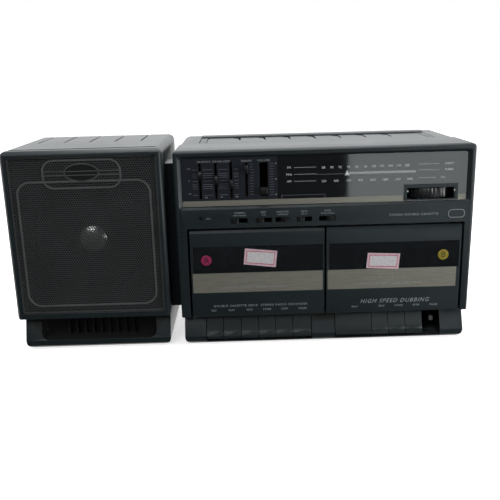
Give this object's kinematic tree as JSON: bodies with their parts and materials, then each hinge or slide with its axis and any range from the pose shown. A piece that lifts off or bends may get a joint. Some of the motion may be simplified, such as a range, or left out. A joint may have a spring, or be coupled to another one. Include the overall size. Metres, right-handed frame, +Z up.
{
  "type": "cassette player",
  "caption": "Portable twin-deck radio cassette player with sliding tone controls, piano keys, folding handle and a lift-off loudspeaker",
  "frame": {"origin": "bottom centre of the whole object's bounding box, on the table", "axes": "+X to the right seen from the front, along the row of speaker and main unit; +Y to the back; +Z up"},
  "size_m": [0.4764, 0.1608, 0.208],
  "materials": {
    "shell": "fine-grained charcoal moulded plastic",
    "dark_plastic": "plain black plastic",
    "gloss_panel": "polished smoked panel with pale printed scales",
    "smoked_window": "polished smoked acrylic",
    "knob": "satin black plastic",
    "white_plastic": "white plastic",
    "steel": "plain sheet steel",
    "chrome": "bright plated tube",
    "grille": "perforated sheet, dark satin paint",
    "board": "brown resin board",
    "magnet": "dark ferrite and steel basket",
    "cone": "black pressed paper with a bright dust cap",
    "lamination": "varnished core and winding"
  },
  "bodies": {
    "main_unit": {"front_cabinet": "shell", "rear_cabinet": "shell", "plinth": "shell", "dial_window": "gloss_panel", "dial_plate": "dark_plastic", "microphone": "steel", "deck_chassis_a": "steel", "deck_chassis_b": "steel", "power_inlet": "dark_plastic", "jack_panel": "dark_plastic", "drive_motor": "steel", "circuit_board": "board", "power_transformer": "lamination"},
    "speaker": {"speaker_cabinet": "shell", "speaker_frame": "shell", "speaker_grille": "grille", "speaker_driver": "magnet", "speaker_base": "shell"},
    "speaker_cone": {"speaker_cone": "cone"},
    "door_a": {"door_a": "shell", "door_window_a": "smoked_window"},
    "door_b": {"door_b": "shell", "door_window_b": "smoked_window"},
    "dial_pointer": {"dial_pointer": "white_plastic"},
    "tuning_wheel": {"tuning_wheel": "knob"},
    "eq_slider_low": {"eq_slider_low": "knob"},
    "eq_slider_mid": {"eq_slider_mid": "knob"},
    "eq_slider_high": {"eq_slider_high": "knob"},
    "balance_slider": {"balance_slider": "knob"},
    "volume_slider": {"volume_slider": "knob"},
    "dubbing_switch": {"dubbing_switch": "knob"},
    "beat_switch": {"beat_switch": "knob"},
    "function_switch": {"function_switch": "knob"},
    "band_switch": {"band_switch": "knob"},
    "mode_switch": {"mode_switch": "knob"},
    "supply_spindle_a": {"supply_spindle_a": "dark_plastic"},
    "takeup_spindle_a": {"takeup_spindle_a": "dark_plastic"},
    "capstan_a": {"capstan_a": "steel"},
    "head_bridge_a": {"head_bridge_a": "steel"},
    "supply_spindle_b": {"supply_spindle_b": "dark_plastic"},
    "takeup_spindle_b": {"takeup_spindle_b": "dark_plastic"},
    "capstan_b": {"capstan_b": "steel"},
    "head_bridge_b": {"head_bridge_b": "steel"},
    "key_record_a": {"key_record_a": "shell"},
    "key_play_a": {"key_play_a": "shell"},
    "key_rewind_a": {"key_rewind_a": "shell"},
    "key_fast_forward_a": {"key_fast_forward_a": "shell"},
    "key_stop_eject_a": {"key_stop_eject_a": "shell"},
    "key_pause_a": {"key_pause_a": "shell"},
    "key_play_b": {"key_play_b": "shell"},
    "key_rewind_b": {"key_rewind_b": "shell"},
    "key_fast_forward_b": {"key_fast_forward_b": "shell"},
    "key_stop_eject_b": {"key_stop_eject_b": "shell"},
    "pause_lever_b": {"pause_lever_b": "steel"},
    "carry_handle": {"carry_handle": "shell"},
    "aerial_mast": {"aerial_mast": "chrome"},
    "aerial_tip": {"aerial_tip": "chrome"},
    "battery_cover": {"battery_cover": "shell"}
  },
  "joints": [
    {"name": "speaker_lift_off", "type": "slide", "parent": "main_unit", "child": "speaker", "axis": [0, 0, 1], "range_m": [0, 0.15]},
    {"name": "speaker_cone_travel", "type": "slide", "parent": "speaker", "child": "speaker_cone", "axis": [0, 1, 0], "range_m": [-0.002, 0.002], "stiffness_N_per_m": 1500},
    {"name": "tuning_wheel_turn", "type": "hinge", "parent": "main_unit", "child": "tuning_wheel", "pos_m": [0.18715, -0.0509, 0.155], "axis": [0, 0, 1], "range_deg": [-76, 194]},
    {"name": "dial_pointer_travel", "type": "slide", "parent": "main_unit", "child": "dial_pointer", "axis": [1, 0, 0], "range_m": [-0.0242, 0.0613]},
    {"name": "eq_slider_low_travel", "type": "slide", "parent": "main_unit", "child": "eq_slider_low", "axis": [0, 0, 1], "range_m": [-0.0191, 0.0074]},
    {"name": "eq_slider_mid_travel", "type": "slide", "parent": "main_unit", "child": "eq_slider_mid", "axis": [0, 0, 1], "range_m": [-0.014, 0.0121]},
    {"name": "eq_slider_high_travel", "type": "slide", "parent": "main_unit", "child": "eq_slider_high", "axis": [0, 0, 1], "range_m": [-0.0096, 0.0165]},
    {"name": "balance_slider_travel", "type": "slide", "parent": "main_unit", "child": "balance_slider", "axis": [0, 0, 1], "range_m": [-0.022, 0.0016]},
    {"name": "volume_slider_travel", "type": "slide", "parent": "main_unit", "child": "volume_slider", "axis": [0, 0, 1], "range_m": [-0.0007, 0.0239]},
    {"name": "dubbing_switch_travel", "type": "slide", "parent": "main_unit", "child": "dubbing_switch", "axis": [1, 0, 0], "range_m": [0, 0.009]},
    {"name": "beat_switch_travel", "type": "slide", "parent": "main_unit", "child": "beat_switch", "axis": [1, 0, 0], "range_m": [0, 0.0075]},
    {"name": "function_switch_travel", "type": "slide", "parent": "main_unit", "child": "function_switch", "axis": [1, 0, 0], "range_m": [-0.0059, 0]},
    {"name": "band_switch_travel", "type": "slide", "parent": "main_unit", "child": "band_switch", "axis": [1, 0, 0], "range_m": [0, 0.007]},
    {"name": "mode_switch_travel", "type": "slide", "parent": "main_unit", "child": "mode_switch", "axis": [1, 0, 0], "range_m": [-0.008, 0]},
    {"name": "key_record_a_press", "type": "hinge", "parent": "main_unit", "child": "key_record_a", "pos_m": [-0.0344, -0.0344, 0.04], "axis": [1, 0, 0], "range_deg": [0, 4.5], "stiffness_Nm_per_rad": 0.5, "springref_deg": -8.59},
    {"name": "key_play_a_press", "type": "hinge", "parent": "main_unit", "child": "key_play_a", "pos_m": [-0.0161, -0.0344, 0.04], "axis": [1, 0, 0], "range_deg": [0, 4.5], "stiffness_Nm_per_rad": 0.5, "springref_deg": -8.59},
    {"name": "key_rewind_a_press", "type": "hinge", "parent": "main_unit", "child": "key_rewind_a", "pos_m": [0.0025, -0.0344, 0.04], "axis": [1, 0, 0], "range_deg": [0, 4.5], "stiffness_Nm_per_rad": 0.5, "springref_deg": -8.59},
    {"name": "key_fast_forward_a_press", "type": "hinge", "parent": "main_unit", "child": "key_fast_forward_a", "pos_m": [0.0207, -0.0344, 0.04], "axis": [1, 0, 0], "range_deg": [0, 4.5], "stiffness_Nm_per_rad": 0.5, "springref_deg": -8.59},
    {"name": "key_stop_eject_a_press", "type": "hinge", "parent": "main_unit", "child": "key_stop_eject_a", "pos_m": [0.0388, -0.0344, 0.04], "axis": [1, 0, 0], "range_deg": [0, 4.5], "stiffness_Nm_per_rad": 0.5, "springref_deg": -8.59},
    {"name": "key_pause_a_press", "type": "hinge", "parent": "main_unit", "child": "key_pause_a", "pos_m": [0.05775, -0.0344, 0.04], "axis": [1, 0, 0], "range_deg": [0, 4.5], "stiffness_Nm_per_rad": 0.5, "springref_deg": -8.59},
    {"name": "key_play_b_press", "type": "hinge", "parent": "main_unit", "child": "key_play_b", "pos_m": [0.11205, -0.0344, 0.04], "axis": [1, 0, 0], "range_deg": [0, 4.5], "stiffness_Nm_per_rad": 0.5, "springref_deg": -8.59},
    {"name": "key_rewind_b_press", "type": "hinge", "parent": "main_unit", "child": "key_rewind_b", "pos_m": [0.1402, -0.0344, 0.04], "axis": [1, 0, 0], "range_deg": [0, 4.5], "stiffness_Nm_per_rad": 0.5, "springref_deg": -8.59},
    {"name": "key_fast_forward_b_press", "type": "hinge", "parent": "main_unit", "child": "key_fast_forward_b", "pos_m": [0.15795, -0.0344, 0.04], "axis": [1, 0, 0], "range_deg": [0, 4.5], "stiffness_Nm_per_rad": 0.5, "springref_deg": -8.59},
    {"name": "key_stop_eject_b_press", "type": "hinge", "parent": "main_unit", "child": "key_stop_eject_b", "pos_m": [0.1761, -0.0344, 0.04], "axis": [1, 0, 0], "range_deg": [0, 4.5], "stiffness_Nm_per_rad": 0.5, "springref_deg": -8.59},
    {"name": "pause_lever_b_press", "type": "hinge", "parent": "main_unit", "child": "pause_lever_b", "pos_m": [0.19515, -0.0344, 0.04], "axis": [1, 0, 0], "range_deg": [0, 4.5], "stiffness_Nm_per_rad": 0.5, "springref_deg": -8.59},
    {"name": "head_bridge_a_lift", "type": "slide", "parent": "main_unit", "child": "head_bridge_a", "axis": [0, 0, 1], "range_m": [0, 0.005]},
    {"name": "door_a_swing", "type": "hinge", "parent": "main_unit", "child": "door_a", "pos_m": [0.012, -0.0704, 0.0355], "axis": [1, 0, 0], "range_deg": [0, 28]},
    {"name": "supply_spindle_a_spin", "type": "hinge", "parent": "main_unit", "child": "supply_spindle_a", "pos_m": [-0.00925, -0.0584, 0.084], "axis": [0, 1, 0], "continuous": true},
    {"name": "takeup_spindle_a_spin", "type": "hinge", "parent": "main_unit", "child": "takeup_spindle_a", "pos_m": [0.03325, -0.0584, 0.084], "axis": [0, 1, 0], "continuous": true},
    {"name": "capstan_a_spin", "type": "hinge", "parent": "main_unit", "child": "capstan_a", "pos_m": [0.049, -0.0584, 0.058], "axis": [0, 1, 0], "continuous": true},
    {"name": "head_bridge_b_lift", "type": "slide", "parent": "main_unit", "child": "head_bridge_b", "axis": [0, 0, 1], "range_m": [0, 0.005]},
    {"name": "door_b_swing", "type": "hinge", "parent": "main_unit", "child": "door_b", "pos_m": [0.15115, -0.0704, 0.0355], "axis": [1, 0, 0], "range_deg": [0, 28]},
    {"name": "supply_spindle_b_spin", "type": "hinge", "parent": "main_unit", "child": "supply_spindle_b", "pos_m": [0.1299, -0.0584, 0.084], "axis": [0, 1, 0], "continuous": true},
    {"name": "takeup_spindle_b_spin", "type": "hinge", "parent": "main_unit", "child": "takeup_spindle_b", "pos_m": [0.1724, -0.0584, 0.084], "axis": [0, 1, 0], "continuous": true},
    {"name": "capstan_b_spin", "type": "hinge", "parent": "main_unit", "child": "capstan_b", "pos_m": [0.18815, -0.0584, 0.058], "axis": [0, 1, 0], "continuous": true},
    {"name": "carry_handle_swing", "type": "hinge", "parent": "main_unit", "child": "carry_handle", "pos_m": [0.08065, -0.0064, 0.2], "axis": [1, 0, 0], "range_deg": [0, 95]},
    {"name": "aerial_swing", "type": "hinge", "parent": "main_unit", "child": "aerial_mast", "pos_m": [0.20765, 0.076, 0.191], "axis": [0, 1, 0], "range_deg": [0, 90]},
    {"name": "aerial_extend", "type": "slide", "parent": "aerial_mast", "child": "aerial_tip", "axis": [-1, 0, 0], "range_m": [0, 0.15]},
    {"name": "battery_cover_off", "type": "slide", "parent": "main_unit", "child": "battery_cover", "axis": [0, 1, 0], "range_m": [0, 0.05]}
  ],
  "couplings": [
    {"joint": "dial_pointer_travel", "follows": "tuning_wheel_turn", "m_per_rad": 0.018},
    {"joint": "key_play_a_press", "follows": "head_bridge_a_lift", "rad_per_m": 15.7},
    {"joint": "key_play_b_press", "follows": "head_bridge_b_lift", "rad_per_m": 15.7},
    {"joint": "capstan_b_spin", "follows": "capstan_a_spin", "ratio": 1}
  ]
}
